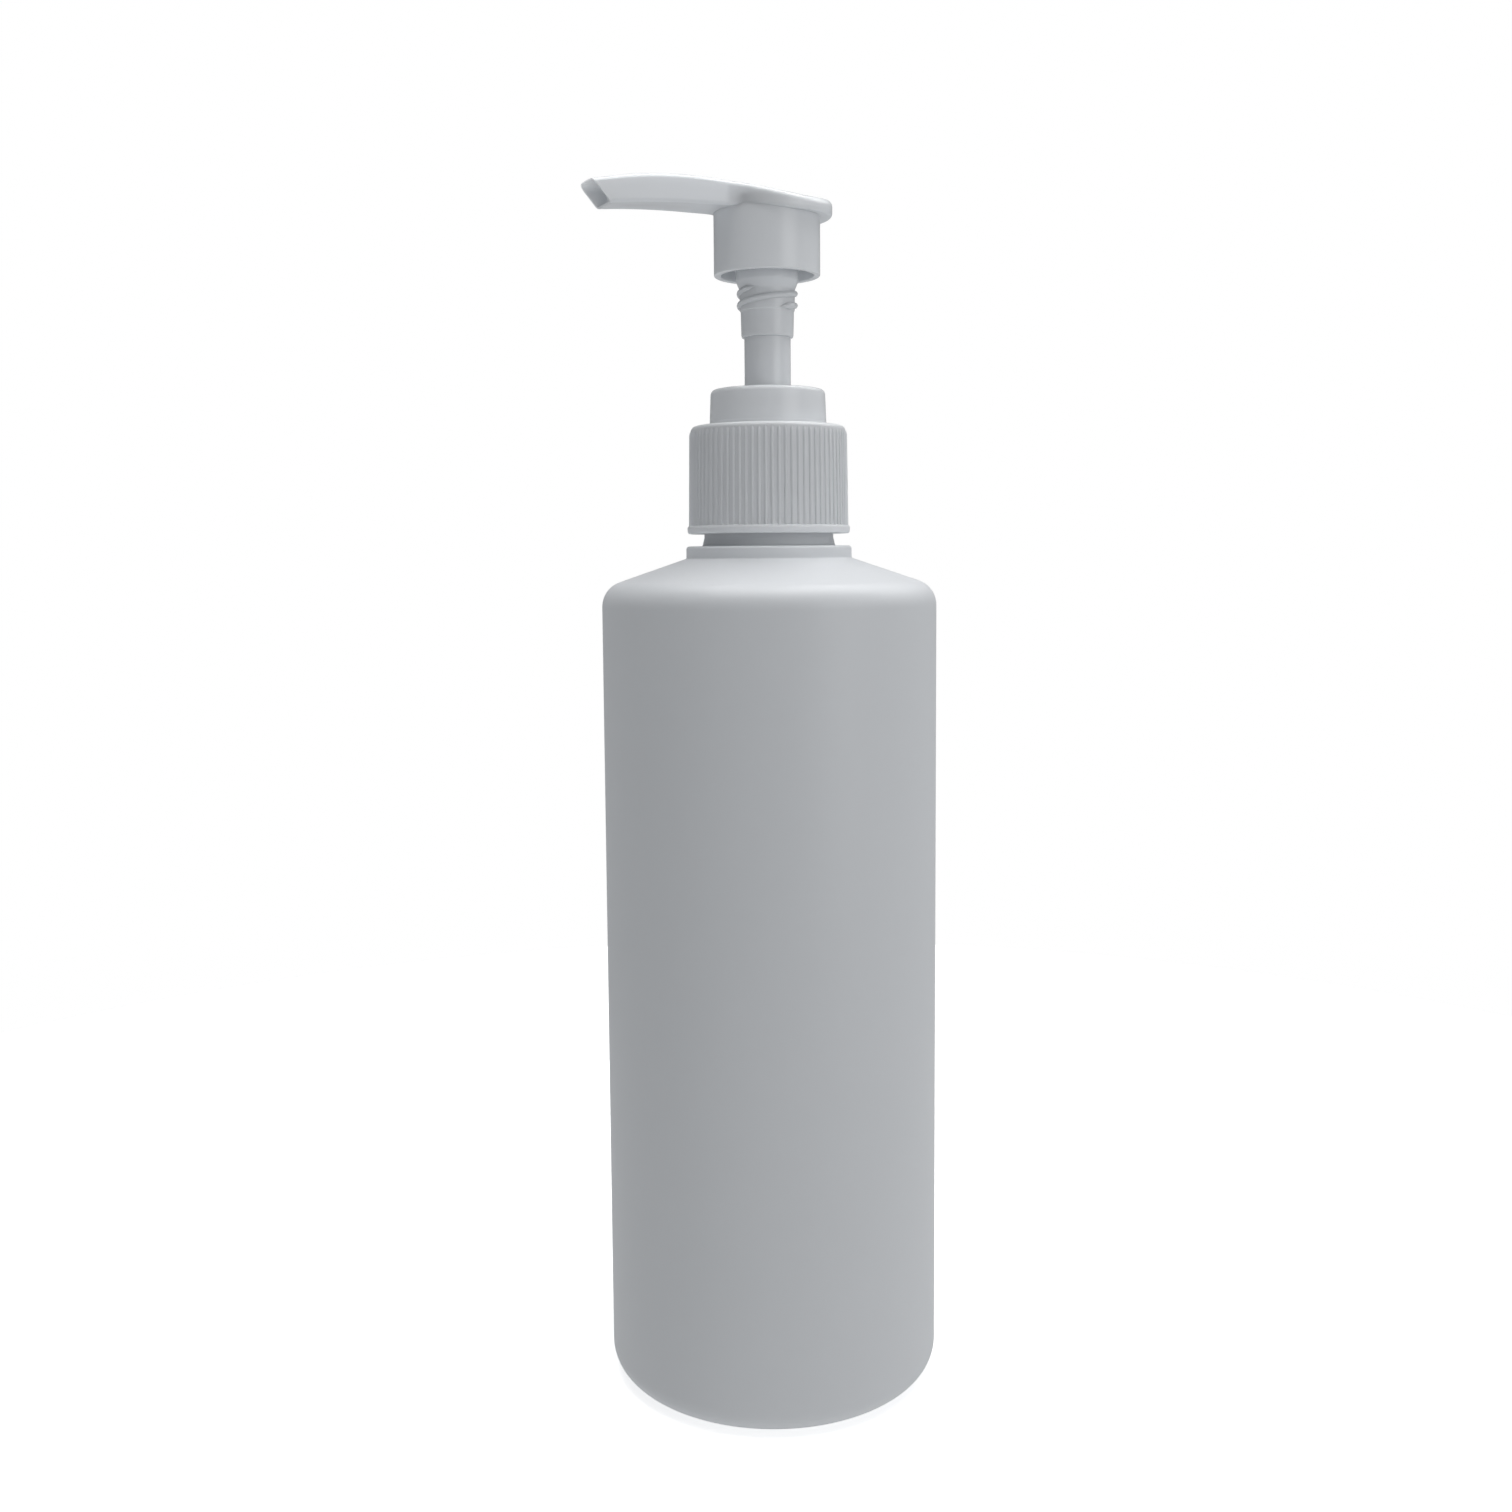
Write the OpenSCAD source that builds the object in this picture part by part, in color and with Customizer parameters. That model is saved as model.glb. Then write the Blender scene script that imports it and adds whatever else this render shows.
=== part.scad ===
// Shampoo bottle with a screw-lock dispensing pump, as it comes apart on a bench.
// Millimetres. The bottle stands on z = 0, its axis is Z, and the spout points along -X.
// Screw threads are right-handed: 28 mm neck finish, and a two-start lock thread under the head.

/* [Bottle] */
// Outside diameter of the bottle body
body_d = 66; // [60:0.5:72]
// Height at which the straight side would meet the shoulder cone
shoulder_z = 158.4; // [140:0.1:185]
// Slope of the shoulder above the horizontal, in degrees
shoulder_slope = 18.9; // [12:0.1:26]
// Radius between the side and the shoulder
shoulder_r = 5.1; // [3:0.1:7]
// Radius between the side and the base
heel_r = 5.2; // [3:0.1:6]
// Wall thickness
wall = 1.1; // [0.8:0.1:1.6]
// Height of the hollow under the base
push_up = 1.9; // [1:0.1:3]
// Inside diameter of the flat standing ring
ring_d = 47; // [40:0.5:50]

/* [Neck] */
// Diameter of the bead below the finish
bead_d = 32.6; // [31:0.1:34]
// Height of the bead
bead_h = 2.4; // [2:0.1:3]
// Height of the finish above the bead
finish_h = 18; // [17.2:0.1:18.4]
// Diameter of the neck between its threads
neck_d = 25.4; // [25:0.1:25.6]
// Diameter over the neck thread
neck_thread_d = 27.4; // [27:0.1:27.6]
// Bore of the neck
neck_bore_d = 21.8; // [21.4:0.1:22]
// Lead of the neck thread, six turns to the inch
neck_lead = 4.233; // [4:0.001:4.5]
// Turns of thread on the neck
neck_turns = 1.5; // [1:0.1:1.6]

/* [Closure] */
// Gap between the neck bead and the closure, screwed down
closure_gap = 2.4; // [1:0.1:3]
// Height of the closure
closure_h = 20.9; // [20.8:0.1:21.8]
// Diameter over the ribs
closure_d = 31; // [30.6:0.1:31.6]
// Diameter of the smooth bead round the bottom edge
closure_bead_d = 32.2; // [31.8:0.1:33]
// Height of that bead
closure_bead_h = 1.6; // [1:0.1:2.4]
// Number of grip ribs
rib_count = 76; // [60:1:90]
// Depth of the grooves between ribs
rib_depth = 0.3; // [0.2:0.05:0.4]

/* [Lock collar] */
// Diameter of the collar at its foot
collar_d = 22.8; // [22.6:0.1:24]
// Height of the collar above the closure
collar_h = 7.1; // [6.6:0.05:7.6]
// Lead of the two-start lock thread
lock_lead = 4.5; // [4.4:0.05:4.6]

/* [Head] */
// Height of the underside of the head's skirt above the collar
head_gap = 21.8; // [21.6:0.1:22]
// Outside diameter of the skirt
skirt_d = 20.7; // [20:0.1:22]
// Height of the skirt up to the underside of the plate, at the rear
skirt_h = 12.3; // [11.5:0.1:13]
// Width of the round end of the plate
plate_w = 23; // [22:0.1:24]
// Reach of the plate behind the axis
plate_back = 12.9; // [12:0.1:14]
// Thickness of the plate at its round end
plate_h = 3.9; // [3.7:0.05:4.3]
// Reach of the spout from the axis to its tip
spout_reach = 37.2; // [35:0.1:40]
// Width of the spout at its tip
tip_w = 7.3; // [7:0.1:8.4]

/* [Pump] */
// Bore of the pump barrel
barrel_bore_d = 13.2; // [13:0.1:13.4]
// Stroke of the head
stroke = 14.6; // [14:0.1:14.8]
// Outside diameter of the stem
stem_d = 9.06; // [9:0.02:9.2]
// Diameter of the spring wire
spring_wire = 1; // [0.8:0.1:1]
// Turns of the spring
spring_turns = 7.5; // [6:0.5:7.5]
// Diameter of the inlet ball
ball_d = 4.76; // [4.6:0.02:4.8]
// Outside diameter of the dip tube
dip_tube_d = 6; // [5.8:0.1:6.2]

/* [Hidden] */
$fn = 96;
tiny = 0.05;        // working gap between flat faces of pieces that turn on each other
bury = 0.4;         // how far a ridge's foot reaches into the wall that carries it
white = [0.80, 0.81, 0.83];
natural = [0.86, 0.87, 0.86];

// Heights, from the neck upwards
body_r = body_d / 2;
bead_z = shoulder_z + (body_r - bead_d / 2) * tan(shoulder_slope);
neck_z = bead_z + bead_h;
finish_z = neck_z + finish_h;
gasket_h = 1.5;
flange_z = finish_z + gasket_h;
flange_h = 1.8;
closure_z = neck_z + closure_gap;
deck_z = closure_z + closure_h;
collar_z = deck_z + tiny;
collar_top = deck_z + collar_h;
head_z = collar_top + head_gap;
plate_z = head_z + skirt_h;
neck_thread_z = finish_z - 1.75 - neck_lead * neck_turns;   // middle of the neck ridge at its lower end

// Lock thread: two ridges a side stand under the head, and the collar holds their partners
lock_pitch = lock_lead / 2;
lock_crest_r = 5.97;
lock_root_r = 5.35;
lock_bore_r = lock_crest_r + 0.3;
lock_tip_r = lock_root_r + 0.28;
lock_ridge_w = 1.1;
lock_phase = 152;               // direction in which the lower ridge passes lock_ref_z
lock_ref_z = head_z - 5.6;
lock_depth = head_gap - stroke; // how far the head screws down into the collar
sleeve_top = lock_ref_z - 1.1;
sleeve_z = head_z - 11.75;
sleeve_r = 5.1;

// Barrel, stem and piston, downwards from the flange
cup_r = 8.6;
cup_z = flange_z - 12;
guide_top = sleeve_z - head_gap - 0.3;
guide_z = cup_z + 0.6;
barrel_r = barrel_bore_d / 2;
barrel_wall = 1.1;
stem_r = stem_d / 2;
stem_bore_r = 2.6;
spigot_r = 3.3;
stem_foot = guide_z - 1.9;
seal_slip = 1.2;
seal_h = 5.8;
seal_z = stem_foot - seal_slip - seal_h;
seat_gap = 0.05;
flange_rod_z = seal_z - 3.6;
travel = stroke + lock_depth;
spring_solid = spring_wire * spring_turns + 1.1;
floor_z = flange_rod_z - travel - spring_solid - 1.5;
seat_h = 1.45;
spring_z0 = floor_z + tiny + seat_h + tiny;
spring_z1 = flange_rod_z - tiny;
ball_r = ball_d / 2;
ball_bore_r = 3.3;
cone_r = 1.4;
cone_z = floor_z - 4.5;
ball_z = cone_z - cone_r + ball_r * sqrt(2) + 0.03;
socket_z = cone_z - 3.5;
socket_h = 11;
tube_r = dip_tube_d / 2;
tube_wall = 0.75;
tube_foot = push_up + wall + 2;

// A ring with a rectangular section
module ring(r_in, r_out, z0, z1) {
    rotate_extrude()
        translate([r_in, z0]) square([r_out - r_in, z1 - z0]);
}

// A right-handed helical ridge. Its foot is at foot_r and its crest at crest_r, inside or outside the foot.
// It starts in direction dir with its middle at height z0, and its ends fade into the wall.
module thread_ridge(foot_r, crest_r, z0, lead, turns, foot_w, crest_w, dir) {
    steps = ceil(turns * 30);
    fade = 3;           // steps over which each end rises to its full height
    out = crest_r > foot_r;
    low_r = foot_r + (out ? bury : -bury) * 0.8;
    sections = [for (i = [0:steps])
        let (
            a = dir + 360 * turns * i / steps,
            z = z0 + lead * turns * i / steps,
            rise = min(1, min(i, steps - i) / fade),
            r = low_r + (crest_r - low_r) * rise
        )
        [[foot_r, z - foot_w / 2, a], [r, z - crest_w / 2, a], [r, z + crest_w / 2, a],
            [foot_r, z + foot_w / 2, a]]
    ];
    points = [for (s = sections) for (p = s) [p[0] * cos(p[2]), p[0] * sin(p[2]), p[1]]];
    sides = [for (i = [0:steps - 1]) for (k = [0:3])
        let (b = 4 * i, n = (k + 1) % 4) [b + k, b + n, b + 4 + n, b + 4 + k]
    ];
    last = 4 * steps;
    faces = concat(sides, [[3, 2, 1, 0]], [[last, last + 1, last + 2, last + 3]]);
    polyhedron(points, out ? faces : [for (f = faces) [for (i = [len(f) - 1:-1:0]) f[i]]], convexity = 6);
}

// Half section of the body, drawn in by the wall thickness t
module body_section(t) {
    r = body_r - t;
    rs = shoulder_r - t;
    rh = heel_r - t;
    low = t;
    lift = push_up + t;
    rim = bead_d / 2 - 2;
    drop = t / cos(shoulder_slope);
    cone = function (x) shoulder_z + (body_r - x) * tan(shoulder_slope) - drop;
    centre = [body_r - shoulder_r, shoulder_z + shoulder_r * tan(shoulder_slope) - shoulder_r / cos(shoulder_slope)];
    touch = centre + rs * [sin(shoulder_slope), cos(shoulder_slope)];
    polygon([
        [0, lift], [ring_d / 2 - 4, lift], [ring_d / 2, low], [body_r - heel_r, low],
        [body_r - heel_r, heel_r], [r, heel_r], [r, centre[1]], centre, touch,
        [rim, cone(rim)], [0, cone(rim)]
    ]);
    translate([body_r - heel_r, heel_r]) circle(rh);
    translate(centre) circle(rs);
}

module bottle() color(white) {
    chamfer = 0.4;
    difference() {
        union() {
            rotate_extrude() {
                body_section(0);
                // neck bead with a rounded edge, and the neck above it
                bead_round = bead_h / 2 - 0.3;
                translate([0, bead_z - 1.2]) square([bead_d / 2 - bead_round, bead_h + 1.2]);
                for (z = [bead_z + bead_round, neck_z - bead_round])
                    translate([bead_d / 2 - bead_round, z]) circle(bead_round);
                translate([0, bead_z + bead_round]) square([bead_d / 2, bead_h - 2 * bead_round]);
                polygon([
                    [0, neck_z - 1], [neck_d / 2 + 0.8, neck_z - 1], [neck_d / 2 + 0.8, neck_z + 0.1],
                    [neck_d / 2 + 0.25, neck_z + 0.4], [neck_d / 2, neck_z + 1], [neck_d / 2, finish_z - chamfer],
                    [neck_d / 2 - chamfer, finish_z], [0, finish_z]
                ]);
            }
            thread_ridge(neck_d / 2 - bury, neck_thread_d / 2, neck_thread_z, neck_lead, neck_turns, 2.3, 1.1, 0);
        }
        rotate_extrude() {
            body_section(wall);
            translate([0, bead_z - 4]) square([neck_bore_d / 2, 40]);
        }
    }
}

module closure() color(white) {
    root_r = neck_thread_d / 2 + 0.3;
    tip_r = neck_d / 2 + 0.35;
    hole_r = cup_r + 0.7;
    deck_h = deck_z - flange_z - flange_h - tiny;
    edge_r = closure_d / 2 - 0.25;
    ridge_z = closure_z + closure_bead_h;
    valley_r = closure_d / 2 - rib_depth;
    step = 360 / rib_count;
    difference() {
        union() {
            intersection() {
                translate([0, 0, ridge_z - 0.4]) linear_extrude(height = deck_z - ridge_z + 1)
                    polygon([for (i = [0:rib_count - 1]) for (k = [0:3])
                        let (a = step * (i + [0.06, 0.30, 0.70, 0.94][k]))
                        (k == 0 || k == 3 ? valley_r : closure_d / 2) * [cos(a), sin(a)]
                    ]);
                // the flat deck rolls over into the side
                rotate_extrude() polygon([
                    [0, 0], [edge_r + 2, 0], [edge_r + 2, deck_z - 3.2], [edge_r, deck_z - 0.75],
                    [edge_r - 0.8, deck_z - 0.15], [edge_r - 1.8, deck_z], [0, deck_z]
                ]);
            }
            // smooth bead round the bottom edge
            rotate_extrude() {
                bead_round = 0.5;
                translate([0, closure_z + bead_round])
                    square([closure_bead_d / 2, closure_bead_h - 2 * bead_round]);
                translate([0, closure_z]) square([closure_bead_d / 2 - bead_round, closure_bead_h]);
                for (z = [closure_z + bead_round, ridge_z - bead_round])
                    translate([closure_bead_d / 2 - bead_round, z]) circle(bead_round);
            }
        }
        rotate_extrude() {
            translate([0, closure_z - 1]) square([root_r, closure_h - deck_h + 1]);
            translate([0, closure_z - 1]) square([hole_r, closure_h + 2]);
        }
    }
    // internal thread, half a turn of lead away from the neck's
    thread_ridge(root_r + bury, tip_r, neck_thread_z - neck_lead / 2, neck_lead, neck_turns + 0.1, 1.7, 0.8, 0);
}

module lock_collar() color(white) {
    corner = 1;
    draft = 0.2;
    skirt_t = 1.3;
    top_t = 1.8;
    r0 = collar_d / 2;
    r1 = r0 - draft;
    rotate_extrude() difference() {
        union() {
            polygon([
                [0, collar_z], [r0, collar_z], [r1, collar_top - corner], [r1 - corner, collar_top - corner],
                [r1 - corner, collar_top], [0, collar_top]
            ]);
            translate([r1 - corner, collar_top - corner]) circle(corner);
            translate([0, guide_z]) square([cup_r, collar_top - guide_z - 1]);
        }
        // bore for the lock thread, with a lead-in, then the stem's guide
        translate([0, guide_top]) square([lock_bore_r, 30]);
        polygon([[0, collar_top - 0.4], [lock_bore_r, collar_top - 0.4], [lock_bore_r + 0.5, collar_top + 0.1],
            [0, collar_top + 0.1]]);
        translate([0, guide_z - 1]) square([stem_r + 0.15, 40]);
        // hollow between the collar's skirt and its tube
        translate([cup_r, collar_z - 1]) square([r0 - skirt_t - cup_r, collar_h - top_t + 1]);
    }
    // female ridges fill the spaces between the head's ridges once the head is down
    down_z = lock_ref_z - stroke + lock_pitch / 2;
    top_z = collar_top - 1.3;
    turns = 1.15;
    for (start = [0, 1]) {
        from_z = top_z - lock_lead * turns;
        turn_to = (from_z - down_z) / lock_lead * 360 + start * 180 + lock_phase;
        thread_ridge(lock_bore_r + bury, lock_tip_r, from_z, lock_lead, turns, lock_ridge_w - 0.1, 0.5, turn_to);
    }
}

module gasket() color("gainsboro")
    ring(neck_bore_d / 2 + 0.1, neck_d / 2 - 0.1, finish_z, flange_z);

module pump_housing() color(natural) {
    outer = barrel_r + barrel_wall;
    neck_r = 4.3;
    vent_z = stem_foot + 0.2;
    difference() {
        rotate_extrude() difference() {
            polygon([
                [0, socket_z - socket_h], [neck_r, socket_z - socket_h], [neck_r, cone_z - 0.5],
                [outer, floor_z - 1], [outer, cup_z - 3.4], [cup_r + 1.4, cup_z - 1.2],
                [cup_r + 1.4, flange_z], [12.6, flange_z], [12.6, flange_z + flange_h], [0, flange_z + flange_h]
            ]);
            polygon([
                [0, cone_z - 2], [cone_r, cone_z - 2], [cone_r, cone_z],
                [ball_bore_r, cone_z + ball_bore_r - cone_r], [ball_bore_r, floor_z], [barrel_r, floor_z],
                [barrel_r, cup_z], [cup_r, cup_z], [cup_r, flange_z + 5], [0, flange_z + 5]
            ]);
            translate([0, socket_z - socket_h - 1]) square([tube_r, socket_h + 1]);
            translate([0, socket_z - 1]) square([cone_r, 4]);
        }
        // vent hole, which lets air into the bottle as the pump draws
        translate([0, 0, vent_z]) rotate([0, 90, 0]) cylinder(r = 0.5, h = outer + 1);
    }
}

module dip_tube() color(natural) {
    difference() {
        ring(tube_r - tube_wall, tube_r, tube_foot, socket_z);
        // the foot is cut on the slant so that it can't seal on the floor
        translate([0, 0, tube_foot - 4]) rotate([0, 30, 0])
            translate([-10, -10, -10]) cube([20, 20, 13]);
    }
}

module spring_seat() color(natural) {
    tower_r = 3.7;
    tower_top = floor_z + tiny + 3.15;
    difference() {
        rotate_extrude() difference() {
            union() {
                translate([0, floor_z + tiny]) square([barrel_r - 0.4, seat_h]);
                translate([0, floor_z + tiny]) square([tower_r, tower_top - floor_z - tiny]);
            }
            translate([0, floor_z - 1]) square([3, tower_top - floor_z + 0.2]);
            translate([0, floor_z - 1]) square([2, 10]);
        }
        // windows for the liquid to pass round the ball
        for (a = [0, 90]) rotate(a)
            translate([-5, -0.9, floor_z + tiny + seat_h]) cube([10, 1.8, 1.2]);
    }
}

module return_spring() color("silver") {
    mean_r = 4.7;
    sides = 8;
    steps = 20 * spring_turns;
    w = spring_wire / 2;
    rise = spring_z1 - spring_z0 - spring_wire;
    points = [for (i = [0:steps]) for (k = [0:sides - 1])
        let (
            a = 360 * spring_turns * i / steps,
            // flat end coils, open coils between them
            t = min(1, max(0, (i / steps * spring_turns - 0.8) / (spring_turns - 1.6))),
            z = spring_z0 + w + rise * t,
            r = mean_r + w * cos(360 * k / sides)
        )
        [r * cos(a), r * sin(a), z + w * sin(360 * k / sides)]
    ];
    last = sides * steps;
    faces = concat(
        [for (i = [0:steps - 1]) for (k = [0:sides - 1])
            let (b = sides * i, n = (k + 1) % sides) [b + n, b + k, b + sides + k, b + sides + n]],
        [[for (k = [0:sides - 1]) k]],
        [[for (k = [sides - 1:-1:0]) last + k]]
    );
    polyhedron(points, faces, convexity = 12);
}

module inlet_ball() color("lightgrey")
    translate([0, 0, ball_z]) sphere(ball_r);

module piston_rod() color(natural) {
    head_r = 4.3;
    foot = 6;
    groove_w = 1;
    difference() {
        rotate_extrude() polygon([
            [0, flange_rod_z - foot], [1.4, flange_rod_z - foot], [1.8, flange_rod_z - foot + 0.6],
            [1.8, flange_rod_z], [5.6, flange_rod_z], [5.6, flange_rod_z + 1.4],
            [3.4, flange_rod_z + 1.4], [head_r, flange_rod_z + 2.9], [head_r, seal_z - seat_gap],
            [2.2, seal_z - seat_gap], [2.2, stem_foot + 0.6], [stem_bore_r, stem_foot + 1.4],
            [stem_bore_r, stem_foot + 10], [1.8, stem_foot + 11], [0, stem_foot + 11]
        ]);
        // three grooves carry the liquid past the plug into the stem
        for (a = [0, 120, 240]) rotate(a)
            translate([1.5, -groove_w / 2, stem_foot - 0.5]) cube([3, groove_w, 13]);
    }
}

module piston_seal() color("whitesmoke") {
    lip_r = barrel_r - 0.05;
    rotate_extrude() polygon([
        [3.1, seal_z], [5.2, seal_z + 0.5], [lip_r, seal_z], [lip_r, seal_z + 0.7], [5.3, seal_z + 2],
        [5.3, seal_z + seal_h - 2], [lip_r, seal_z + seal_h - 0.7], [lip_r, seal_z + seal_h],
        [5, seal_z + seal_h - 0.6], [4.6, seal_z + seal_h], [3.1, seal_z + seal_h]
    ]);
}

module piston_stem() color(white) {
    spigot_top = sleeve_z + 9.6;
    rotate_extrude() polygon([
        [stem_bore_r, stem_foot], [barrel_r - 0.4, stem_foot], [barrel_r - 0.4, guide_z - 0.2],
        [stem_r, guide_z - 0.2], [stem_r, sleeve_z], [spigot_r, sleeve_z], [spigot_r, spigot_top - 0.4],
        [spigot_r - 0.3, spigot_top], [stem_bore_r, spigot_top]
    ]);
}

// Outline of the head's plate and spout from above: a disc, and a narrower spout that runs out of it
module plate_plan() {
    r = plate_w / 2;
    centre_x = plate_back - r;
    tip_r = tip_w / 2;
    root_r = tip_r + 1.4;
    blend = 4.5;        // hollow corner between disc and spout
    blend_x = sqrt(pow(r + blend, 2) - pow(root_r + blend, 2));
    touch = r / (r + blend);
    translate([centre_x, 0]) {
        circle(r);
        for (side = [-1, 1]) scale([-1, side])
            difference() {
                polygon([
                    [0, 0], [touch * blend_x, touch * (root_r + blend)], [blend_x, root_r + blend],
                    [blend_x, root_r], [spout_reach + centre_x, tip_r], [spout_reach + centre_x, 0]
                ]);
                translate([blend_x, root_r + blend]) circle(blend);
            }
    }
}

// Side view of the plate and spout, both rising a little from the rear and then curving down to the tip
module plate_side() {
    rise = 4;           // of the top, towards the spout
    bend_x = 6;         // where the top starts to curve
    top_r = 105;
    bend_z = plate_z + plate_h + (bend_x + plate_back) * tan(rise);
    fall = 1.1;         // of the underside, towards the spout
    under_x = 17;       // where the underside starts to curve
    under_r = 160;
    under_z = plate_z - (under_x + plate_back) * tan(fall);
    tip_z = plate_z + plate_h - 1.5;
    lean = 41;          // of the tip's face from the vertical
    cut = 8;
    difference() {
        intersection() {
            union() {
                translate([-bend_x - top_r * sin(rise), bend_z - top_r * cos(rise)]) circle(top_r, $fn = 360);
                polygon([
                    [plate_back + 1, plate_z - 20], [plate_back + 1, plate_z + plate_h - tan(rise)],
                    [-bend_x, bend_z], [-bend_x, plate_z - 20]
                ]);
            }
            polygon([
                [plate_back + 1, plate_z + tan(fall)], [plate_back + 1, plate_z + 20],
                [-spout_reach - 1, plate_z + 20], [-spout_reach - 1, plate_z - 4], [-under_x, under_z]
            ]);
        }
        translate([-under_x + under_r * sin(fall), under_z - under_r * cos(fall)]) circle(under_r, $fn = 360);
        // slanted tip
        polygon([
            [-spout_reach, tip_z], [-spout_reach + cut * sin(lean), tip_z - cut * cos(lean)],
            [-spout_reach - 1, tip_z - cut], [-spout_reach - 1, tip_z + cut], [-spout_reach, tip_z + cut]
        ]);
    }
}

// Rounded slot seen along the spout
module mouth_section(w, h) {
    r = h / 2 - 0.2;
    square([w - 2 * r, h], center = true);
    square([w, h - 2 * r], center = true);
    for (x = [-1, 1]) for (y = [-1, 1])
        translate([x * (w / 2 - r), y * (h / 2 - r)]) circle(r);
}

module actuator_head() color(white) {
    skirt_t = 1.3;
    shank_r = 6.1;
    channel_r = 1.7;
    channel_slope = 3.2;
    mouth_z = plate_z + 0.45;
    mouth_h = 2.9;
    mouth_depth = 5.5;
    riser_z = mouth_z + spout_reach * tan(channel_slope);
    difference() {
        union() {
            intersection() {
                translate([0, 0, plate_z - 3]) linear_extrude(height = 16) plate_plan();
                rotate([90, 0, 0]) linear_extrude(height = 40, center = true) plate_side();
            }
            // skirt, open underneath
            ring(skirt_d / 2 - skirt_t, skirt_d / 2, head_z, plate_z + 1);
            // shank: sleeve, thread root and the wider part inside the skirt
            rotate_extrude() polygon([
                [0, sleeve_z], [sleeve_r - 0.1, sleeve_z], [sleeve_r, sleeve_z + 0.4], [sleeve_r + 0.1, sleeve_top],
                [lock_root_r, sleeve_top + 0.1], [lock_root_r, head_z - 1.8], [shank_r, head_z - 1.2],
                [shank_r, plate_z + 1], [0, plate_z + 1]
            ]);
            for (start = [0, 1])
                thread_ridge(lock_root_r - bury, lock_crest_r, lock_ref_z - 0.8, lock_lead, 0.87, lock_ridge_w + 0.2,
                    0.5, lock_phase + start * 180 - 0.8 / lock_lead * 360);
        }
        // socket for the stem, riser, channel along the spout and the mouth at its tip
        translate([0, 0, sleeve_z - 1]) cylinder(r = spigot_r, h = 10.6 + 1);
        translate([0, 0, sleeve_z]) cylinder(r = 2.4, h = riser_z - sleeve_z + 1);
        translate([-spout_reach, 0, mouth_z]) rotate([0, -channel_slope, 0]) {
            rotate([0, 90, 0]) cylinder(r = channel_r, h = spout_reach);
            translate([mouth_depth, 0, 0]) rotate([90, 0, -90])
                linear_extrude(height = mouth_depth + 5) mouth_section(tip_w - 1.6, mouth_h);
        }
    }
}

bottle();
closure();
lock_collar();
gasket();
pump_housing();
dip_tube();
spring_seat();
return_spring();
inlet_ball();
piston_rod();
piston_seal();
piston_stem();
actuator_head();
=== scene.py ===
# Shampoo bottle with a screw-lock pump: the looks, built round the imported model.
# Lengths in the dictionaries are millimetres, and angles are degrees unless a note says otherwise.
import math

import bmesh
import bpy
from mathutils import Matrix, Vector


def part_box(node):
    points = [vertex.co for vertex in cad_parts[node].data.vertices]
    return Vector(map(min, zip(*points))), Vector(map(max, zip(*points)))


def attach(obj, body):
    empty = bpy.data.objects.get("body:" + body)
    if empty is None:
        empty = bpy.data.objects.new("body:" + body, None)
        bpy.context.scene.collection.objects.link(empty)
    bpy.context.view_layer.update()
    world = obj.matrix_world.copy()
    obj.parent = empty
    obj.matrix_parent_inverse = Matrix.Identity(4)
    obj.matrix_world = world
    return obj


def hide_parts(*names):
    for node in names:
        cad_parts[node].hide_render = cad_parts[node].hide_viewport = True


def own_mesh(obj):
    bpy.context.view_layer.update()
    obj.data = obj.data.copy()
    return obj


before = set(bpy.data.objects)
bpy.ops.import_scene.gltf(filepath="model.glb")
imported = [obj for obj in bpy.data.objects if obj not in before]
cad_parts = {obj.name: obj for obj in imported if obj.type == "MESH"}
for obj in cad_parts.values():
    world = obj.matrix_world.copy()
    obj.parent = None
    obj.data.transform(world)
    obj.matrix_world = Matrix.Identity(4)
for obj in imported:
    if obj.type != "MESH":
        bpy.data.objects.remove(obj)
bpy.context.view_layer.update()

mm = 0.001
scene = bpy.context.scene


def levels(node):
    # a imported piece's lowest and highest point
    low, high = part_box(node)
    return low.z / mm, high.z / mm


bottleTop = levels("bottle")[1]
closureFoot, closureTop = levels("closure")
collarFoot, collarTop = levels("lock_collar")
stemFoot, stemTop = levels("piston_stem")
headFoot = levels("actuator_head")[0]
springFoot, springTop = levels("return_spring")
print("frame loaded:", len(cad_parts), "nodes")


def addNode(tree, kind, inputs=None, **settings):
    # an input is either linked to a socket or set to a value
    made = tree.nodes.new(kind)
    for key, value in settings.items():
        setattr(made, key, value)
    for key, value in (inputs or {}).items():
        if isinstance(value, bpy.types.NodeSocket):
            tree.links.new(value, made.inputs[key])
        else:
            made.inputs[key].default_value = value
    return made


def calc(tree, operation, *values):
    made = addNode(tree, "ShaderNodeMath", dict(enumerate(values)), operation=operation)
    return made.outputs[0]


def newTree(name, kind, inputs, outputs):
    # gives the new tree, the sockets that bring its inputs, and those that take its outputs
    tree = bpy.data.node_groups.new(name, kind)
    for label, socketType, value in inputs:
        socket = tree.interface.new_socket(name=label, in_out="INPUT", socket_type=socketType)
        if value is not None:
            socket.default_value = value
    for label, socketType in outputs:
        tree.interface.new_socket(name=label, in_out="OUTPUT", socket_type=socketType)
    return tree, tree.nodes.new("NodeGroupInput").outputs, tree.nodes.new("NodeGroupOutput").inputs


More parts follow.
